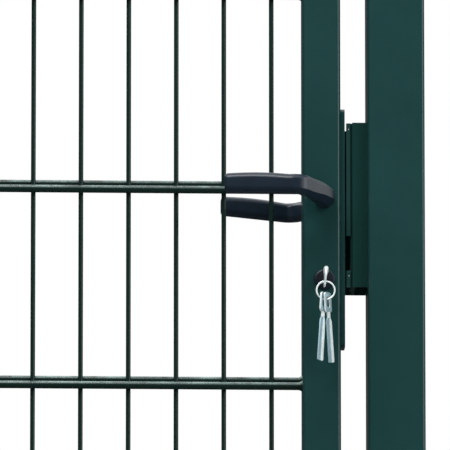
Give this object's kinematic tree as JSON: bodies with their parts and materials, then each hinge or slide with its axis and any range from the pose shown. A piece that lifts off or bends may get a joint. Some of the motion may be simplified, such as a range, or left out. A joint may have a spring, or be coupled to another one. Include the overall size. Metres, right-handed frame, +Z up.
{
  "type": "fence gate",
  "caption": "Garden fence gate with a tube frame, wire mesh infill, lever lock with hanging keys, posts and eye-bolt hinges.",
  "frame": {"origin": "centre of the hinge post's foot at ground level", "axes": "+X from the hinge post to the lock post, -Y towards the viewer and the side the leaf opens to, +Z up"},
  "size_m": [1.044, 0.1616, 1.554],
  "materials": {
    "green_coat": "satin moss-green powder coat",
    "dark_green_coat": "darker satin green coat",
    "black_plastic": "satin moulded black plastic",
    "zinc": "dull galvanised steel",
    "nickel": "bright nickel plate",
    "black_metal": "blackened cylinder metal",
    "rubber": "matt black rubber"
  },
  "bodies": {
    "posts": {"hinge_post": "green_coat", "lock_post": "green_coat", "hinge_post_cap": "black_plastic", "lock_post_cap": "black_plastic", "lower_hinge_bracket": "green_coat", "upper_hinge_bracket": "green_coat", "lower_hinge_pin": "zinc", "upper_hinge_pin": "zinc", "strike_bracket": "green_coat", "strike_plate": "dark_green_coat", "strike_screws": "zinc", "stop_buffers": "rubber"},
    "leaf": {"hinge_stile": "green_coat", "lock_stile": "green_coat", "top_rail": "green_coat", "bottom_rail": "green_coat", "wire_mesh": "green_coat", "lower_eye_bolt": "zinc", "upper_eye_bolt": "zinc", "lower_hinge_nuts": "zinc", "upper_hinge_nuts": "zinc", "lock_forend": "green_coat", "lock_case": "zinc", "latch_bolt": "zinc", "dead_bolt": "zinc", "cylinder_body": "black_metal", "front_rosette": "black_plastic", "rear_rosette": "black_plastic"},
    "lever": {"front_handle": "black_plastic", "rear_handle": "black_plastic", "handle_spindle": "zinc"},
    "key": {"cylinder_plug": "black_metal", "key_in_lock": "nickel"},
    "ring": {"key_ring": "nickel"},
    "hung_keys": {"left_hanging_key": "nickel", "right_hanging_key": "nickel"}
  },
  "joints": [
    {"name": "leaf_swing", "type": "hinge", "parent": "posts", "child": "leaf", "pos_m": [0.064, 0, 0.17], "axis": [0, 0, -1], "range_deg": [0, 100]},
    {"name": "handle_turn", "type": "hinge", "parent": "leaf", "child": "lever", "pos_m": [0.909, 0, 1.05325], "axis": [0, -1, 0], "range_deg": [0, 45], "stiffness_Nm_per_rad": 1.2, "springref_deg": -20.05},
    {"name": "key_turn", "type": "hinge", "parent": "leaf", "child": "key", "pos_m": [0.909, 0, 0.96625], "axis": [0, 1, 0], "range_deg": [-90, 90]},
    {"name": "ring_hang", "type": "hinge", "parent": "key", "child": "ring", "pos_m": [0.909, -0.043, 0.95005], "axis": [0, 1, 0], "range_deg": [-90, 90]},
    {"name": "keys_swing", "type": "hinge", "parent": "ring", "child": "hung_keys", "pos_m": [0.909, -0.043, 0.94055], "axis": [-1, 0, 0], "range_deg": [-10, 60]}
  ],
  "couplings": [
    {"joint": "ring_hang", "follows": "key_turn", "ratio": -1}
  ]
}
